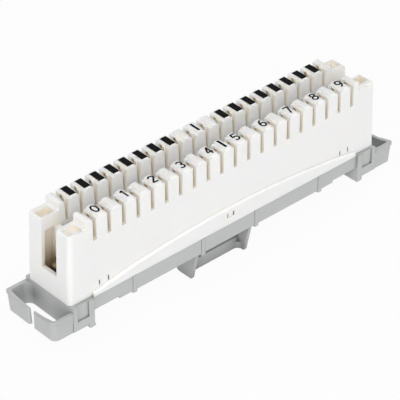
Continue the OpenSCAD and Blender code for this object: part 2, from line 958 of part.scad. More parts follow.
// The cable rest under the middle of the base
module cable_rest() {
    fin_in_x = fin_x - fin_t;
    low_z = foot_z - rest_depth;
    both([1, 0, 0])
        translate([fin_x - fin_t / 2, 0, 0])
            along_x(fin_t)
                fin_outline();
    along_x(2 * fin_in_x + 2 * eps)
        bar_outline();
    both([1, 0, 0])
        translate([fin_in_x, -bar_y, low_z])
            linear_extrude(bar_h - bar_r_step)
                difference() {
                    translate([-bar_r, -bar_r])
                        square([bar_r + eps, bar_r + eps]);
                    translate([-bar_r, -bar_r])
                        circle(bar_r);
                }
}

// One snap hook of the rear face, standing on the deck
module snap_hook() {
    back_y = housing_y - hook_wall - hook_clear - hook_t;
    translate([0, 0, foot_z - eps])
        along_x(hook_w)
            polygon([
                [back_y, 0],
                [back_y + hook_t, 0],
                [back_y + hook_t, hook_h - hook_head_h],
                [back_y + hook_t + hook_clear / 2, hook_h - hook_head_h + hook_clear],
                [back_y + hook_t / 2, hook_h],
                [back_y, hook_h]
            ]);
}

// The earth spring's tail passes through the deck here
module tail_hole() {
    translate([earth_x, 0, deck_z - 1])
        post(strip_t + 2 * contact_gap, earth_w / 2 + 2 * contact_gap, deck_t + 2);
}

module base() {
    outer_rib_x = last_slot_x - outer_rib_inset;
    color(grey)
        difference() {
            union() {
                tray();
                twice() {
                    rib(outer_rib_x);
                    rib(inner_rib_x);
                    leg();
                    end_block();
                    loop();
                }
                cable_rest();
                for (place = snap_places)
                    translate([place[0], 0, 0])
                        both([0, 1, 0])
                            snap_hook();
            }
            both([1, 0, 0])
                tail_hole();
        }
}

// ---------------------------------------------------------------- nodes

housing();
base();
earth_spring_left();
earth_spring_right();
for (i = [0:slots - 1]) {
    front_contact(i);
    rear_contact(i);
}
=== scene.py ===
"""Looks of a punch-down wiring block: plastics, spring contacts and printed marks.

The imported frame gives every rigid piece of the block. This script dresses those
pieces, prints the pair digits and the other marks on the finger tops, and sets up the
studio. Lengths are in metres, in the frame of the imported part: X runs along the block,
-Y is the numbered row and +Z points at the finger tops.
"""

import logging
import math
from abc import ABC, abstractmethod
from collections.abc import Iterable, Mapping
from dataclasses import dataclass, field
from enum import Enum
from typing import Any, TypeAlias

import bmesh
import bpy
from mathutils import Matrix, Quaternion, Vector

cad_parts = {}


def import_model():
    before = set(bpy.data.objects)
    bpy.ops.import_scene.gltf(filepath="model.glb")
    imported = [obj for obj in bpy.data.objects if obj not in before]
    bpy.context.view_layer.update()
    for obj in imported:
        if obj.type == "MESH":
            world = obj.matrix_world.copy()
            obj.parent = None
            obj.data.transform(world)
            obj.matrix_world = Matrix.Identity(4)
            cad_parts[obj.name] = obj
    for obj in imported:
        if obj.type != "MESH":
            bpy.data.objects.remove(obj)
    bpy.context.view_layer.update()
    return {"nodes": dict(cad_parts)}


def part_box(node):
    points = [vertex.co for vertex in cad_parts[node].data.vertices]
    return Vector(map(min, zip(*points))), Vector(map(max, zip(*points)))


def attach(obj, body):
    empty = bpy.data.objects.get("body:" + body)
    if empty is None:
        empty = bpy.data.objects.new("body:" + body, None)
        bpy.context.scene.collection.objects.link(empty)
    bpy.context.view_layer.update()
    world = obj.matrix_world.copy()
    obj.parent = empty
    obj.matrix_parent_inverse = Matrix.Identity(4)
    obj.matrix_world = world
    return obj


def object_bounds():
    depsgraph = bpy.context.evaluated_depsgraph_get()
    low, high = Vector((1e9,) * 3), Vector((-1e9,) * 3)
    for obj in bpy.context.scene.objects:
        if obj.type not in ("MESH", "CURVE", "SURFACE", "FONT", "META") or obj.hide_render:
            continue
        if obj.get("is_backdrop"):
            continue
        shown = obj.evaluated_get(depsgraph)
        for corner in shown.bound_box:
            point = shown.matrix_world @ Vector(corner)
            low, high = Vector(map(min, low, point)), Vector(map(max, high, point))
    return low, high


LOG = logging.getLogger("wiring_block")
MM = 0.001
BODY = "root"

# Vertices closer than these are one: in a finished mesh, and in a printed slab.
WELD_DISTANCE = 1e-7
SLAB_MERGE_DISTANCE = 1e-6

# The rays that see the floor and sky as plain white.
SHOWING_RAYS = ("Is Camera Ray", "Is Glossy Ray", "Is Transmission Ray")

Colour: TypeAlias = tuple[float, float, float]
Point: TypeAlias = tuple[float, float]
Span: TypeAlias = tuple[float, float]
Input: TypeAlias = "Socket | float | Colour | tuple[float, ...]"


# ------------------------------------------------------------------ shader maths


class Socket:
    """An output socket that takes part in Python arithmetic.

    Each operator adds one Math node to the tree that the socket belongs to.
    """

    def __init__(self, graph: "Graph", socket: bpy.types.NodeSocket) -> None:
        """Wraps one output.

        Args:
            graph: The tree that holds the socket's node.
            socket: The output itself.
        """
        self.graph = graph
        self.socket = socket

    def _math(self, operation: str, first: Input, second: Input) -> "Socket":
        """Adds a Math node.

        Args:
            operation: The node's operation, such as "ADD".
            first: The left operand.
            second: The right operand.

        Returns:
            The node's value.
        """
        return self.graph.node(
            "ShaderNodeMath", {"operation": operation}, {0: first, 1: second}
        )

    def __add__(self, other: Input) -> "Socket":
        """Returns self + other."""
        return self._math("ADD", self, other)

    def __radd__(self, other: Input) -> "Socket":
        """Returns other + self."""
        return self._math("ADD", other, self)

    def __sub__(self, other: Input) -> "Socket":
        """Returns self - other."""
        return self._math("SUBTRACT", self, other)

    def __rsub__(self, other: Input) -> "Socket":
        """Returns other - self."""
        return self._math("SUBTRACT", other, self)

    def __mul__(self, other: Input) -> "Socket":
        """Returns self * other."""
        return self._math("MULTIPLY", self, other)

    def __rmul__(self, other: Input) -> "Socket":
        """Returns other * self."""
        return self._math("MULTIPLY", other, self)

    def either(self, other: Input) -> "Socket":
        """Returns the larger of self and other."""
        return self._math("MAXIMUM", self, other)

    def ramp(self, low: float, high: float) -> "Socket":
        """Rises smoothly from 0 to 1.

        Args:
            low: The value of self at which the result is 0.
            high: The value of self at which the result is 1.

        Returns:
            The ramped value.
        """
        return self.graph.node(
            "ShaderNodeMapRange",
            {"interpolation_type": "SMOOTHSTEP"},
            {"Value": self, "From Min": low, "From Max": high},
        )


class Graph:
    """The node tree of one material or of the world."""

    def __init__(self, tree: bpy.types.NodeTree) -> None:
        """Empties a tree and takes it over.

        Args:
            tree: The tree to fill.
        """
        self.tree = tree
        tree.nodes.clear()

    def node(
        self,
        kind: str,
        settings: Mapping[str, Any] | None = None,
        inputs: Mapping[str | int, Input] | None = None,
        output: str | int = 0,
    ) -> Socket:
        """Adds any node.

        Args:
            kind: The node's type, such as "ShaderNodeBump".
            settings: Its properties, which are set before its sockets.
            inputs: A value or a Socket for each socket, by name or by place.
            output: The output to return, by name or by place.

        Returns:
            The chosen output.
        """
        made = self.tree.nodes.new(kind)
        for name, value in (settings or {}).items():
            setattr(made, name, value)
        for key, value in (inputs or {}).items():
            if isinstance(value, Socket):
                self.tree.links.new(value.socket, made.inputs[key])
            else:
                made.inputs[key].default_value = value
        # A tree's output node has no outputs, so its input stands in for one.
        return Socket(self, made.outputs[output] if made.outputs else made.inputs[0])

    def mix(self, share: Input, first: Input, second: Input) -> Socket:
        """Mixes two colours.

        Args:
            share: How much of the second colour shows, from 0 to 1.
            first: The colour at share 0.
            second: The colour at share 1.

        Returns:
            The mixed colour.
        """
        # The colours go by place, because each kind of data has its own "A" and "B".
        return self.node(
            "ShaderNodeMix",
            {"data_type": "RGBA"},
            {0: share, 6: rgba(first), 7: rgba(second)},
            2,
        )

    def place(self) -> Socket:
        """Returns the Object coordinates."""
        return self.node("ShaderNodeTexCoord", output="Object")

    def axis(self, name: str) -> Socket:
        """Returns one Object coordinate, "X", "Y" or "Z"."""
        return self.node("ShaderNodeSeparateXYZ", inputs={0: self.place()}, output=name)

    def noise(
        self, scale: float, detail: float = 3.0, place: Socket | None = None
    ) -> Socket:
        """Adds a noise texture.

        Args:
            scale: Blotches per metre.
            detail: Octaves of finer noise.
            place: Its coordinates; none is the Object coordinates.

        Returns:
            The noise, from 0 to 1 about 0.5.
        """
        vector = self.place() if place is None else place
        return self.node(
            "ShaderNodeTexNoise",
            inputs={"Vector": vector, "Scale": scale, "Detail": detail},
        )

    def bump(
        self,
        height: Socket,
        strength: float,
        distance: float,
        normal: Socket | None = None,
    ) -> Socket:
        """Adds a fine relief.

        Args:
            height: The relief, from 0 to 1.
            strength: How much of it shows, from 0 to 1.
            distance: Its height in metres.
            normal: The normal to which it is added; none is the surface's own.

        Returns:
            The normal with the relief.
        """
        inputs = {"Strength": strength, "Distance": distance, "Height": height}
        if normal is not None:
            inputs["Normal"] = normal
        return self.node("ShaderNodeBump", inputs=inputs)

    def showing(self) -> Socket:
        """Returns 1 for the rays that see the floor and sky, and 0 for the others."""
        seen, *others = (
            self.node("ShaderNodeLightPath", output=ray) for ray in SHOWING_RAYS
        )
        for other in others:
            seen = seen.either(other)
        return seen


def rgba(value: Input) -> Input:
    """Adds an alpha of 1 to a plain colour, and leaves a Socket as it is."""
    return value if isinstance(value, Socket) else (*value[:3], 1.0)


# ------------------------------------------------------------------ finishes


@dataclass(frozen=True)
class Finish(ABC):
    """What all finishes share.

    Attributes:
        name: Name of the material.
    """

    name: str

    @abstractmethod
    def shader(self, graph: Graph) -> Socket:
        """Builds the finish in an empty graph.

        Args:
            graph: The graph to fill.

        Returns:
            The finished shader.
        """

    def material(self) -> bpy.types.Material:
        """Makes the material.

        Returns:
            The material.
        """
        material = bpy.data.materials.new(self.name)
        material.use_nodes = True
        graph = Graph(material.node_tree)
        graph.node("ShaderNodeOutputMaterial", inputs={"Surface": self.shader(graph)})
        return material


@dataclass(frozen=True)
class MouldedPlastic(Finish):
    """A satin injection-moulded thermoplastic, with shade painted into its hollows.

    Attributes:
        colour: Colour of the plastic.
        deep_colour: Colour where the plastic shows light through it.
        painted_cavity_shade: Painted shade and bounced light low down in hollows.
        painted_rim_shade: Painted shade and bounced light in hollows near the top.
        cavity_reach: Distance within which a wall makes a hollow for the painted shade.
        end_reach: Distance to add to it at the ends of the block.
        end_span: Distances from the middle between which it is added.
        rim_reach: Distance to add to it near the top.
        cavity_span: Openness at which the painted shade is full, and is gone.
        cavity_rays: Rays that look for walls at each point.
        rim_span: Heights between which the one painted shade turns into the other.
        flow_scale: Flow marks per metre.
        flow_span: Strengths between which a flow mark rises from none to full.
        flow_share: Share of the deep colour in a full flow mark.
        roughness: Roughness of a clean face.
        wear_scale: Patches of wear per metre.
        wear: Difference of roughness that wear makes.
        grain: Height of the mould's spark-eroded grain.
        grain_scale: Grains per metre.
        grain_strength: Share of the grain that shows.
        edge_r: Radius that the mould leaves on every edge.
        edge_rays: Rays that look for an edge at each point.
        subsurface: Share of the light that travels inside the plastic.
        subsurface_reach: Distance that such light travels.
        subsurface_tint: Share of that distance for red, green and blue light.
    """

    colour: Colour
    deep_colour: Colour
    painted_cavity_shade: Colour
    painted_rim_shade: Colour
    cavity_reach: float = 4.0 * MM
    end_reach: float = 0.0
    end_span: Span = (47.6 * MM, 49.0 * MM)
    rim_reach: float = 0.0
    cavity_span: Span = (0.05, 0.42)
    cavity_rays: int = 6
    rim_span: Span = (12.0 * MM, 29.0 * MM)
    flow_scale: float = 38.0
    flow_span: Span = (0.3, 0.7)
    flow_share: float = 0.35
    roughness: float = 0.42
    wear_scale: float = 260.0
    wear: float = 0.1
    grain: float = 0.02 * MM
    grain_scale: float = 2600.0
    grain_strength: float = 0.25
    edge_r: float = 0.18 * MM
    edge_rays: int = 4
    subsurface: float = 0.0
    subsurface_reach: float = 0.8 * MM
    subsurface_tint: Colour = (1.0, 0.8, 0.55)

    def shader(self, graph: Graph) -> Socket:
        """Builds the plastic.

        Args:
            graph: The graph to fill.

        Returns:
            The finished shader.
        """
        wear = graph.noise(self.wear_scale, detail=4.0)
        rounded = graph.node(
            "ShaderNodeBevel",
            {"samples": self.edge_rays},
            {"Radius": self.edge_r},
            "Normal",
        )
        grain = graph.noise(self.grain_scale)
        return graph.node(
            "ShaderNodeBsdfPrincipled",
            inputs={
                "Base Color": self.colour_with_painted_shade(graph),
                "Roughness": self.roughness + self.wear * (wear - 0.5),
                "Normal": graph.bump(grain, self.grain_strength, self.grain, rounded),
                "Subsurface Weight": self.subsurface,
                "Subsurface Radius": self.subsurface_tint,
                "Subsurface Scale": self.subsurface_reach,
            },
        )

    def colour_with_painted_shade(self, graph: Graph) -> Socket:
        """Builds the colour, with flow marks and with painted shade in the hollows.

        Args:
            graph: The graph to fill.

        Returns:
            The colour.
        """
        # The painted shade reaches farther at the ends of the block and near the top.
        x, high = graph.axis("X"), graph.axis("Z").ramp(*self.rim_span)
        past_end = (x * x).ramp(*(edge**2 for edge in self.end_span))
        reach = self.cavity_reach + self.end_reach * past_end + self.rim_reach * high
        openness = graph.node(
            "ShaderNodeAmbientOcclusion",
            {"samples": self.cavity_rays},
            {"Distance": reach},
            "AO",
        )
        # Painted shade: an ambient-occlusion mask turns the colour in hollows brown low
        # down and tan near the top, for their shade and warm bounced light.
        hollow = 1.0 - openness.ramp(*self.cavity_span)
        flow = graph.noise(self.flow_scale, detail=2.0).ramp(*self.flow_span)
        clean = graph.mix(flow * self.flow_share, self.colour, self.deep_colour)
        painted_shade = graph.mix(high, self.painted_cavity_shade, self.painted_rim_shade)
        return graph.mix(hollow, clean, painted_shade)


@dataclass(frozen=True)
class StampedBrass(Finish):
    """A plated copper-alloy strip, stamped and bent.

    Attributes:
        colour: Colour of the plating.
        dull_colour: Colour of the tarnish between clean patches.
        tarnish_scale: Patches of tarnish per metre.
        tarnish_span: Strengths between which a patch rises from none to full.
        roughness: Roughness of the clean plating.
        tarnish_roughness: Roughness that full tarnish adds.
        rolling_scale: Rolling marks per metre across the strip.
        rolling_stretch: Marks along each axis, as shares of that number.
        rolling_depth: Depth of the rolling marks.
        rolling_strength: Share of the rolling marks that shows.
    """

    colour: Colour = (0.36, 0.27, 0.15)
    dull_colour: Colour = (0.15, 0.11, 0.06)
    tarnish_scale: float = 420.0
    tarnish_span: Span = (0.4, 0.75)
    roughness: float = 0.34
    tarnish_roughness: float = 0.25
    rolling_scale: float = 9000.0
    rolling_stretch: tuple[float, float, float] = (1.0, 1.0, 0.06)
    rolling_depth: float = 0.01 * MM
    rolling_strength: float = 0.2

    def shader(self, graph: Graph) -> Socket:
        """Builds the plated strip.

        Args:
            graph: The graph to fill.

        Returns:
            The finished shader.
        """
        patches = graph.noise(self.tarnish_scale, detail=4.0)
        tarnish = patches.ramp(*self.tarnish_span)
        along = graph.node(
            "ShaderNodeMapping",
            inputs={"Vector": graph.place(), "Scale": self.rolling_stretch},
        )
        rolled = graph.noise(self.rolling_scale, detail=2.0, place=along)
        return graph.node(
            "ShaderNodeBsdfPrincipled",
            inputs={
                "Base Color": graph.mix(tarnish, self.colour, self.dull_colour),
                "Metallic": 1.0,
                "Roughness": self.roughness + self.tarnish_roughness * tarnish,
                "Normal": graph.bump(rolled, self.rolling_strength, self.rolling_depth),
            },
        )


@dataclass(frozen=True)
class PadInk(Finish):
    """A pad-printed ink, slightly uneven where the plastic's grain shows through.

    Attributes:
        colour: Colour of a full layer.
        thin_colour: Colour where the layer is thin.
        grain_scale: Thin spots per metre.
        grain_span: Strengths between which a thin spot rises from none to full.
        grain_depth: Depth of a thin spot.
        grain_strength: Share of that depth that shows.
        roughness: Roughness of a full layer.
        thin_roughness: Roughness that a thin spot adds.
        shine: Level of the mirror-like reflection; 0.5 is that of plain plastic.
    """

    colour: Colour = (0.003, 0.003, 0.0033)
    thin_colour: Colour = (0.007, 0.007, 0.0075)
    grain_scale: float = 3200.0
    grain_span: Span = (0.45, 0.7)
    grain_depth: float = 0.01 * MM
    grain_strength: float = 0.2
    roughness: float = 0.6
    thin_roughness: float = 0.2
    shine: float = 0.06

    def shader(self, graph: Graph) -> Socket:
        """Builds the ink.

        Args:
            graph: The graph to fill.

        Returns:
            The finished shader.
        """
        thin = graph.noise(self.grain_scale).ramp(*self.grain_span)
        return graph.node(
            "ShaderNodeBsdfPrincipled",
            inputs={
                "Base Color": graph.mix(thin, self.colour, self.thin_colour),
                "Roughness": self.roughness + self.thin_roughness * thin,
                "Specular IOR Level": self.shine,
                "Normal": graph.bump(thin, self.grain_strength, self.grain_depth),
            },
        )


@dataclass(frozen=True)
class StudioPaper(Finish):
    """The pale floor, which shows white to the camera and keeps the block's shadow.

    Attributes:
        colour: Colour of the paper in the lamps' light.
        roughness: Roughness of the paper.
        lift: Share of plain white that the camera sees over the paper.
    """

    colour: Colour = (0.86, 0.86, 0.86)
    roughness: float = 0.9
    lift: float = 0.94

    def shader(self, graph: Graph) -> Socket:
        """Builds the paper.

        Args:
            graph: The graph to fill.

        Returns:
            The finished shader.
        """
        paper = graph.node(
            "ShaderNodeBsdfPrincipled",
            inputs={"Base Color": rgba(self.colour), "Roughness": self.roughness},
        )
        white = graph.node("ShaderNodeEmission", inputs={"Strength": 1.0})
        lifted = graph.showing() * self.lift
        return graph.node("ShaderNodeMixShader", inputs={0: lifted, 1: paper, 2: white})


# ------------------------------------------------------------------ meshes


def set_finish(node: bpy.types.Object, material: bpy.types.Material) -> None:
    """Gives a node of the frame its finish.

    Args:
        node: The node's object, whose mesh isn't touched.
        material: The finish for all its slots.
    """
    if not node.material_slots:
        node.data.materials.append(material)
    for slot in node.material_slots:
        slot.material = material


def add_object(name: str, data: bpy.types.ID) -> bpy.types.Object:
    """Adds an object to the scene.

    Args:
        name: The object's name.
        data: What it shows: a mesh, curve, lamp or camera.

    Returns:
        The object.
    """
    added = bpy.data.objects.new(name, data)
    bpy.context.scene.collection.objects.link(added)
    return added


def add_piece(
    name: str, mesh: bpy.types.Mesh, material: bpy.types.Material
) -> bpy.types.Object:
    """Adds a finished mesh to the scene as a piece of the block.

    Args:
        name: The piece's name.
        mesh: Its mesh, with its place in the block worked in.
        material: Its finish.

    Returns:
        The piece.
    """
    piece = add_object(name, mesh)
    mesh.materials.clear()
    mesh.materials.append(material)
    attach(piece, BODY)
    return piece


def evaluated_mesh(source: bpy.types.Object) -> bpy.types.Mesh:
    """Turns what an object's modifiers give into a plain mesh.

    Args:
        source: The object, which is removed with its modifiers.

    Returns:
        The plain mesh.
    """
    bpy.context.view_layer.update()
    graph = bpy.context.evaluated_depsgraph_get()
    mesh = bpy.data.meshes.new_from_object(source.evaluated_get(graph))
    bpy.data.objects.remove(source)
    return mesh


def weld(mesh: bpy.types.Mesh) -> None:
    """Merges doubled vertices and turns every face outwards.

    Args:
        mesh: The mesh, changed in place.
    """
    shape = bmesh.new()
    shape.from_mesh(mesh)
    bmesh.ops.remove_doubles(shape, verts=shape.verts, dist=WELD_DISTANCE)
    bmesh.ops.recalc_face_normals(shape, faces=shape.faces)
    shape.to_mesh(mesh)
    shape.free()


# ------------------------------------------------------------------ geometry nodes


class PatternTree:
    """A geometry node tree with named inputs for its sizes."""

    def __init__(self, name: str) -> None:
        """Starts an empty tree that gives out geometry.

        Args:
            name: The tree's name.
        """
        self.tree = bpy.data.node_groups.new(name, "GeometryNodeTree")
        self.tree.interface.new_socket(
            "Geometry", in_out="OUTPUT", socket_type="NodeSocketGeometry"
        )
        self.inputs = self.tree.nodes.new("NodeGroupInput")

    def size(
        self, name: str, socket_type: str = "NodeSocketFloat"
    ) -> bpy.types.NodeSocket:
        """Adds a named input.

        Args:
            name: The input's name.
            socket_type: The kind of its socket.

        Returns:
            Its socket inside the tree.
        """
        self.tree.interface.new_socket(name, in_out="INPUT", socket_type=socket_type)
        return self.inputs.outputs[name]

    def node(
        self,
        kind: str,
        settings: Mapping[str, Any] | None = None,
        inputs: Mapping[str | int, Any] | None = None,
    ) -> bpy.types.Node:
        """Adds any node.

        Args:
            kind: The node's type.
            settings: Its properties, which are set before its sockets.
            inputs: A value, or a list of outputs to link, for each socket.

        Returns:
            The node.
        """
        made = self.tree.nodes.new(kind)
        for name, value in (settings or {}).items():
            setattr(made, name, value)
        for key, value in (inputs or {}).items():
            outputs = value if isinstance(value, list) else [value]
            if isinstance(outputs[0], bpy.types.NodeSocket):
                for output in outputs:
                    self.tree.links.new(output, made.inputs[key])
            else:
                made.inputs[key].default_value = value
        return made

    def finish(
        self, geometry: bpy.types.NodeSocket, material: bpy.types.NodeSocket
    ) -> None:
        """Realizes the instances, sets the finish and ends the tree.

        Args:
            geometry: What the tree has made.
            material: The socket that holds the finish.
        """
        real = self.node("GeometryNodeRealizeInstances", inputs={0: geometry})
        painted = self.node(
            "GeometryNodeSetMaterial",
            inputs={"Geometry": real.outputs[0], "Material": material},
        )
        self.node("NodeGroupOutput", inputs={0: painted.outputs[0]})

    def grow(
        self, name: str, values: Mapping[str, Any], source: bpy.types.ID | None = None
    ) -> bpy.types.Mesh:
        """Runs the tree.

        Args:
            name: The name of the made mesh.
            values: A value for each named input.
            source: The curve or mesh that the tree works on; none is an empty mesh.

        Returns:
            The made mesh.
        """
        carrier = add_object(name, source or bpy.data.meshes.new(name))
        modifier = carrier.modifiers.new(name, "NODES")
        modifier.node_group = self.tree
        for item in self.tree.interface.items_tree:
            if item.in_out == "INPUT" and item.name in values:
                modifier[item.identifier] = values[item.name]
        return evaluated_mesh(carrier)


def bar_row_tree() -> PatternTree:
    """Builds the tree for a row of printed bars, one on each finger top.

    Returns:
        The tree.
    """
    row = PatternTree("row_of_printed_bars")
    start = row.size("Start", "NodeSocketVector")
    pitch = row.size("Pitch", "NodeSocketVector")
    count = row.size("Count", "NodeSocketInt")
    width = row.size("Width")
    length = row.size("Length")
    corner = row.size("Corner radius")
    corner_points = row.size("Corner points", "NodeSocketInt")
    layer = row.size("Layer")
    ink = row.size("Ink", "NodeSocketMaterial")
    plan = row.node(
        "GeometryNodeCurvePrimitiveQuadrilateral", inputs={0: width, 1: length}
    )
    softened = row.node(
        "GeometryNodeFilletCurve",
        {"mode": "POLY"},
        {"Curve": plan.outputs[0], "Count": corner_points, "Radius": corner},
    )
    face = row.node(
        "GeometryNodeFillCurve", {"mode": "NGONS"}, {0: softened.outputs[0]}
    )
    slab = row.node(
        "GeometryNodeExtrudeMesh",
        {"mode": "FACES"},
        {"Mesh": face.outputs[0], "Offset Scale": layer, "Individual": False},
    )
    under = row.node("GeometryNodeFlipFaces", inputs={0: face.outputs[0]})
    both = row.node(
        "GeometryNodeJoinGeometry", inputs={0: [slab.outputs[0], under.outputs[0]]}
    )
    closed = row.node(
        "GeometryNodeMergeByDistance",
        inputs={0: both.outputs[0], "Distance": SLAB_MERGE_DISTANCE},
    )
    points = row.node(
        "GeometryNodeMeshLine",
        {"mode": "OFFSET"},
        {"Count": count, "Start Location": start, "Offset": pitch},
    )
    bars = row.node(
        "GeometryNodeInstanceOnPoints",
        inputs={"Points": points.outputs[0], "Instance": closed.outputs[0]},
    )
    row.finish(bars.outputs[0], ink)
    return row


def stroke_tree() -> PatternTree:
    """Builds the tree that widens middle lines into flat printed strokes.

    Returns:
        The tree.
    """
    pen = PatternTree("printed_strokes")
    lines = pen.size("Lines", "NodeSocketGeometry")
    width = pen.size("Width")
    layer = pen.size("Layer")
    ink = pen.size("Ink", "NodeSocketMaterial")
    level = pen.node("GeometryNodeSetCurveNormal", {"mode": "Z_UP"}, {0: lines})
    nib = pen.node(
        "GeometryNodeCurvePrimitiveQuadrilateral", inputs={0: width, 1: layer}
    )
    strokes = pen.node(
        "GeometryNodeCurveToMesh",
        inputs={0: level.outputs[0], 1: nib.outputs[0], "Fill Caps": True},
    )
    pen.finish(strokes.outputs[0], ink)
    return pen


# ------------------------------------------------------------------ sub-assemblies


class Turn(Enum):
    """The way round that an arc of a stroke is drawn, as a sign of its angle."""

    COUNTER = 1
    CLOCKWISE = -1


@dataclass(frozen=True)
class Arc:
    """Part of an upright ellipse, as one stroke of a digit that is 1 high.

    Attributes:
        centre: Centre of the ellipse.
        radii: Its radii across and up.
        start: Angle in degrees at which the stroke starts; 0 is right, 90 is up.
        sweep: Angle in degrees through which it runs; 360 closes it.
        turn: The way round.
        steps: Number of chords.
    """

    centre: Point
    radii: Point
    start: float
    sweep: float
    turn: Turn = Turn.COUNTER
    steps: int = 28

    @property
    def closed(self) -> bool:
        """Whether the stroke runs back to its start."""
        return self.sweep >= 360.0

    def points(self) -> list[Point]:
        """Returns the stroke's middle line."""
        count = self.steps if self.closed else self.steps + 1
        found = []
        for i in range(count):
            swept = self.turn.value * self.sweep * i / self.steps
            angle = math.radians(self.start + swept)
            x = self.centre[0] + self.radii[0] * math.cos(angle)
            found.append((x, self.centre[1] + self.radii[1] * math.sin(angle)))
        return found


@dataclass(frozen=True)
class Line:
    """A straight stroke of a digit that is 1 high.

    Attributes:
        start: Its first end.
        end: Its other end.
        closed: Whether it runs back to its start, which a line never does.
    """

    start: Point
    end: Point
    closed: bool = False

    def points(self) -> list[Point]:
        """Returns the stroke's middle line."""
        return [self.start, self.end]


# The strokes of 0 to 9, each digit 1 high with its foot at 0, about DIGIT_MIDDLE.
DIGIT_MIDDLE: Point = (0.31, 0.5)
CLOCKWISE = Turn.CLOCKWISE
DIGITS: tuple[tuple[Arc | Line, ...], ...] = (
    (Arc((0.31, 0.5), (0.25, 0.43), 0, 360),),
    (Line((0.38, 0.0), (0.38, 1.0)), Line((0.41, 0.96), (0.16, 0.76))),
    (
        Arc((0.31, 0.69), (0.24, 0.24), 170, 200, CLOCKWISE),
        Line((0.525, 0.63), (0.075, 0.08)),
        Line((0.03, 0.07), (0.59, 0.07)),
    ),
    (
        Arc((0.29, 0.71), (0.22, 0.22), 155, 245, CLOCKWISE),
        Arc((0.29, 0.29), (0.25, 0.22), 90, 245, CLOCKWISE),
    ),
    (
        Line((0.43, 0.96), (0.06, 0.31)),
        Line((0.02, 0.29), (0.60, 0.29)),
        Line((0.43, 0.0), (0.43, 1.0)),
    ),
    (
        Line((0.10, 0.93), (0.53, 0.93)),
        Line((0.14, 0.96), (0.09, 0.48)),
        Arc((0.29, 0.32), (0.25, 0.25), 143, 290, CLOCKWISE),
    ),
    (
        Arc((0.31, 0.31), (0.24, 0.25), 0, 360),
        Arc((0.50, 0.33), (0.43, 0.60), 180, 85, CLOCKWISE),
    ),
    (Line((0.04, 0.93), (0.58, 0.93)), Line((0.55, 0.95), (0.24, 0.0))),
    (
        Arc((0.31, 0.73), (0.20, 0.20), 0, 360),
        Arc((0.31, 0.29), (0.25, 0.23), 0, 360),
    ),
    (
        Arc((0.31, 0.69), (0.24, 0.25), 0, 360),
        Arc((0.12, 0.67), (0.43, 0.60), 0, 85, CLOCKWISE),
    ),
)


class Row(Enum):
    """The two rows of fingers, by the sign of Y."""

    FRONT = -1
    REAR = 1


@dataclass
class FingerTops:
    """Where the tops of the fingers are, worked out from the contacts between them.

    Attributes:
        slots: Number of slots in each row.
        slot_x: Middle of each slot along the block.
        top_z: Height of the finger tops.
    """

    slots: int = 20
    slot_x: list[float] = field(init=False)
    top_z: float = field(init=False)

    def __post_init__(self) -> None:
        """Reads the slots' places and the tops' height from the frame."""
        self.slot_x = [self._slot_centre(i) for i in range(1, self.slots + 1)]
        self.top_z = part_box("housing")[1].z

    def _slot_centre(self, slot: int) -> float:
        """Returns the middle of a slot, between its front and its rear contact."""
        ends = [*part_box(f"front_contact_{slot}"), *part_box(f"rear_contact_{slot}")]
        return sum(corner.x for corner in ends) / len(ends)

    @property
    def pitch(self) -> float:
        """The distance between neighbouring slots."""
        return (self.slot_x[-1] - self.slot_x[0]) / (self.slots - 1)

    def place(self, finger: int, row: Row, across: float) -> Vector:
        """Finds a point on a finger top.

        Args:
            finger: The finger's number; finger 1 lies past slot 1.
            row: The finger's row.
            across: Distance of the point from the block's centre plane.

        Returns:
            The point.
        """
        x = self.slot_x[0] + (finger - 0.5) * self.pitch
        return Vector((x, row.value * across, self.top_z))


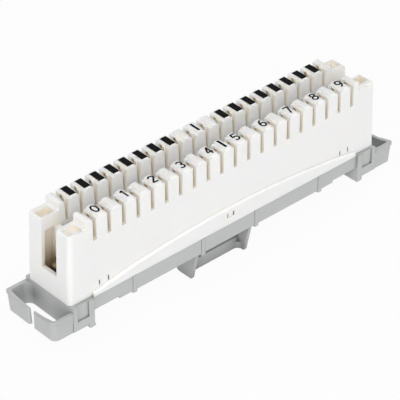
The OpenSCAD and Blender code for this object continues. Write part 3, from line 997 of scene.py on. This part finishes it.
@dataclass
class PrintedMarks:
    """The pad-printed digits, lines and bars on the finger tops.

    Attributes:
        tops: Where the finger tops are.
        across: Distance of the marks' middle from the centre plane.
        digit_h: Height of a digit.
        stroke_w: Width of a digit's strokes.
        line_w: Width of the line that marks the middle pair.
        line_l: Length of that line.
        bar_w: Width of a bar.
        bar_l: Length of a bar.
        corner_r: Radius of a bar's corners.
        corner_points: Points on each corner.
        stroke_step: Height of each stroke over the one before, where they cross.
        layer: Thickness of the ink above the plastic.
        sink: Depth of the ink below the plastic's surface.
        bar_fingers: First and last finger of each run of bars.
        line_finger: The finger with the middle line.
    """

    tops: FingerTops
    across: float = 5.3 * MM
    digit_h: float = 3.7 * MM
    stroke_w: float = 0.52 * MM
    line_w: float = 0.75 * MM
    line_l: float = 3.7 * MM
    bar_w: float = 2.1 * MM
    bar_l: float = 4.1 * MM
    corner_r: float = 0.08 * MM
    corner_points: int = 3
    stroke_step: float = 0.002 * MM
    layer: float = 0.012 * MM
    sink: float = 0.02 * MM
    bar_fingers: tuple[tuple[int, int], ...] = ((1, 8), (12, 19))
    line_finger: int = 10

    def build(self, ink: bpy.types.Material) -> list[bpy.types.Object]:
        """Prints every mark.

        Args:
            ink: The ink's finish.

        Returns:
            The printed pieces.
        """
        pen, stamp = stroke_tree(), bar_row_tree()
        bar, line = (self.bar_w, self.bar_l), (self.line_w, self.line_l)
        made = [self.digit(pen, value, ink) for value in range(len(DIGITS))]
        for first, last in self.bar_fingers:
            name = f"rear_bars_{first}_to_{last}"
            made.append(self.bars(stamp, name, Row.REAR, (first, last), bar, ink))
        alone = (self.line_finger, self.line_finger)
        for row in Row:
            name = f"{row.name.lower()}_middle_line"
            made.append(self.bars(stamp, name, row, alone, line, ink))
        return made

    def digit(
        self, tree: PatternTree, value: int, ink: bpy.types.Material
    ) -> bpy.types.Object:
        """Prints one digit on its finger, an odd one of the front row.

        Args:
            tree: The tree that widens the strokes.
            value: The digit, from 0 to 9.
            ink: The ink's finish.

        Returns:
            The printed digit.
        """
        name = f"digit_{value}"
        lines = bpy.data.curves.new(name, "CURVE")
        lines.dimensions = "3D"
        scale = self.digit_h - self.stroke_w
        spot = self.tops.place(2 * value + 1, Row.FRONT, self.across)
        middle = spot.z + (self.layer - self.sink) / 2
        for order, stroke in enumerate(DIGITS[value]):
            points = stroke.points()
            height = middle + order * self.stroke_step
            spline = lines.splines.new("POLY")
            spline.points.add(len(points) - 1)
            spline.use_cyclic_u = stroke.closed
            for point, (x, y) in zip(spline.points, points):
                off = Vector((x - DIGIT_MIDDLE[0], y - DIGIT_MIDDLE[1]))
                point.co = (*(spot.xy + off * scale), height, 1.0)
        mesh = tree.grow(
            name,
            {"Width": self.stroke_w, "Layer": self.layer + self.sink, "Ink": ink},
            lines,
        )
        weld(mesh)
        return add_piece(name, mesh, ink)

    def bars(
        self,
        tree: PatternTree,
        name: str,
        row: Row,
        fingers: tuple[int, int],
        size: Point,
        ink: bpy.types.Material,
    ) -> bpy.types.Object:
        """Prints a run of bars along a row, one on each finger.

        Args:
            tree: The tree that lays the bars.
            name: The piece's name.
            row: The row of fingers.
            fingers: The first and the last finger with a bar.
            size: Width and length of a bar.
            ink: The ink's finish.

        Returns:
            The printed bars as one piece.
        """
        first, last = fingers
        start = self.tops.place(first, row, self.across)
        start.z -= self.sink
        mesh = tree.grow(
            name,
            {
                "Start": start,
                "Pitch": Vector((self.tops.pitch, 0, 0)),
                "Count": last - first + 1,
                "Width": size[0],
                "Length": size[1],
                "Corner radius": self.corner_r,
                "Corner points": self.corner_points,
                "Layer": self.layer + self.sink,
                "Ink": ink,
            },
        )
        weld(mesh)
        return add_piece(name, mesh, ink)


@dataclass
class Block:
    """The dressed pieces of the frame.

    Attributes:
        nodes: The frame's nodes by name.
        white: Finish of the housing.
        grey: Finish of the base.
        metal: Finish of the contacts and earth springs.
    """

    nodes: Mapping[str, bpy.types.Object]
    white: MouldedPlastic = MouldedPlastic(
        "white_thermoplastic",
        colour=(0.92, 0.918, 0.912),
        deep_colour=(0.915, 0.905, 0.885),
        # Painted shade in the housing's slots and chamber: brown low down, tan near the
        # tops.
        painted_cavity_shade=(0.36, 0.26, 0.13),
        painted_rim_shade=(0.92, 0.845, 0.69),
        cavity_reach=2.6 * MM,
        end_reach=10.0 * MM,
        rim_reach=5.0 * MM,
        cavity_span=(0.05, 0.6),
        subsurface=0.4,
    )
    grey: MouldedPlastic = MouldedPlastic(
        "grey_thermoplastic",
        colour=(0.52, 0.532, 0.526),
        deep_colour=(0.495, 0.506, 0.496),
        # Painted shade in the base's hollows: dark grey.
        painted_cavity_shade=(0.11, 0.12, 0.115),
        painted_rim_shade=(0.11, 0.12, 0.115),
        cavity_reach=8.5 * MM,
        cavity_span=(0.12, 0.8),
        edge_r=0.3 * MM,
    )
    metal: StampedBrass = StampedBrass("plated_brass")

    def dress(self) -> None:
        """Gives each node its finish."""
        metal = self.metal.material()
        plastics = {"housing": self.white.material(), "base": self.grey.material()}
        for name, node in self.nodes.items():
            material = plastics.get(name, metal)
            set_finish(node, material)
            LOG.info("%s: %s", name, material.name)


# ------------------------------------------------------------------ studio


@dataclass(frozen=True)
class Stand:
    """A place off the block, from which a lamp or the camera looks at it.

    Attributes:
        azimuth: Direction in degrees; 0 is the front, -Y, and 90 the right, +X.
        elevation: Degrees above the horizon.
        distance: Distance from the point that it looks at.
        roll: Turn about its own view, in degrees.
    """

    azimuth: float
    elevation: float
    distance: float
    roll: float = 0.0

    def hold(self, held: bpy.types.Object, aim: Vector) -> None:
        """Puts a lamp or camera on the stand.

        Args:
            held: The lamp or camera.
            aim: The point that it looks at.
        """
        a, e = math.radians(self.azimuth), math.radians(self.elevation)
        level = Vector((math.sin(a), -math.cos(a), 0.0))
        back = level * math.cos(e) + Vector((0.0, 0.0, math.sin(e)))
        turn = Quaternion((0.0, 0.0, 1.0), math.radians(self.roll))
        held.location = aim + back * self.distance
        held.rotation_mode = "QUATERNION"
        held.rotation_quaternion = (-back).to_track_quat("-Z", "Y") @ turn


@dataclass(frozen=True)
class Softbox:
    """A square area lamp aimed at the block.

    Attributes:
        name: Name of the lamp.
        stand: Where it stands.
        size: Side of the lamp.
        power: Power in watts.
    """

    name: str
    stand: Stand
    size: float
    power: float

    def build(self, aim: Vector) -> None:
        """Adds the lamp.

        Args:
            aim: The point that it looks at.
        """
        lamp = bpy.data.lights.new(self.name, "AREA")
        lamp.shape, lamp.size, lamp.energy = "SQUARE", self.size, self.power
        self.stand.hold(add_object(self.name, lamp), aim)


@dataclass(frozen=True)
class Studio:
    """Floor, sky, lamps and camera.

    Attributes:
        floor_size: Side of the floor.
        ambient: Strength of the even light from all round.
        overhead: Share by which that light falls off towards straight above.
        lamps: The softboxes.
        camera_stand: Where the camera stands.
        aim: The point that the camera looks at.
        focal_length: The lens, in millimetres.
        sensor_width: The width of the camera's sensor, in millimetres.
        clip: The nearest and the farthest distance that the camera sees.
    """

    floor_size: float = 6.0
    ambient: float = 0.86
    overhead: float = 0.75
    lamps: tuple[Softbox, ...] = (
        Softbox("key_softbox", Stand(-39.0, 46.0, 1.3), size=0.9, power=10.0),
        Softbox("fill_softbox", Stand(-82.0, 22.0, 1.4), size=0.9, power=0.5),
        Softbox("rim_softbox", Stand(140.0, 45.0, 1.3), size=0.8, power=0.8),
    )
    camera_stand: Stand = Stand(-42.139, 35.716, 604.14 * MM, roll=0.125)
    aim: tuple[float, float, float] = (1.71 * MM, 5.08 * MM, 6.84 * MM)
    focal_length: float = 198.86
    sensor_width: float = 36.0
    clip: Span = (0.01, 20.0)

    def build(self) -> None:
        """Sets up the whole studio."""
        low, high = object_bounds()
        self.add_floor(low.z)
        self.add_sky()
        for lamp in self.lamps:
            lamp.build((low + high) / 2)
        self.add_camera()
        bpy.context.scene.view_settings.view_transform = "Standard"

    def add_floor(self, height: float) -> None:
        """Adds the floor.

        Args:
            height: The height of its surface.
        """
        shape = bmesh.new()
        half = self.floor_size / 2
        bmesh.ops.create_grid(shape, x_segments=1, y_segments=1, size=half)
        mesh = bpy.data.meshes.new("studio_floor")
        shape.to_mesh(mesh)
        shape.free()
        mesh.transform(Matrix.Translation((0, 0, height)))
        mesh.materials.append(StudioPaper("studio_paper").material())
        floor = add_object("studio_floor", mesh)
        floor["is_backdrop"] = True

    def add_sky(self) -> None:
        """Lights the block evenly, and shows white behind it."""
        world = bpy.data.worlds.new("studio_sky")
        world.use_nodes = True
        bpy.context.scene.world = world
        graph = Graph(world.node_tree)
        direction = graph.node("ShaderNodeTexCoord", output="Generated")
        height = graph.node("ShaderNodeSeparateXYZ", inputs={0: direction}, output="Z")
        even = self.ambient * (1.0 - self.overhead * height.ramp(0.0, 1.0))
        strength = even + (1.0 - even) * graph.showing()
        sky = graph.node(
            "ShaderNodeBackground",
            inputs={"Color": (1.0, 1.0, 1.0, 1.0), "Strength": strength},
        )
        graph.node("ShaderNodeOutputWorld", inputs={"Surface": sky})

    def add_camera(self) -> None:
        """Adds the camera and makes it the scene's own."""
        lens = bpy.data.cameras.new("studio_camera")
        lens.lens, lens.sensor_width = self.focal_length, self.sensor_width
        lens.clip_start, lens.clip_end = self.clip
        camera = add_object("studio_camera", lens)
        self.camera_stand.hold(camera, Vector(self.aim))
        bpy.context.scene.camera = camera


def main() -> None:
    """Dresses the frame, prints the marks and sets up the studio."""
    logging.basicConfig(level=logging.INFO, format="%(name)s: %(message)s")
    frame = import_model()
    Block(frame["nodes"]).dress()
    marks = PrintedMarks(FingerTops()).build(PadInk("black_pad_ink").material())
    for piece in marks:
        LOG.info("%s: %d faces", piece.name, len(piece.data.polygons))
    Studio().build()


if __name__ == "__main__":
    main()
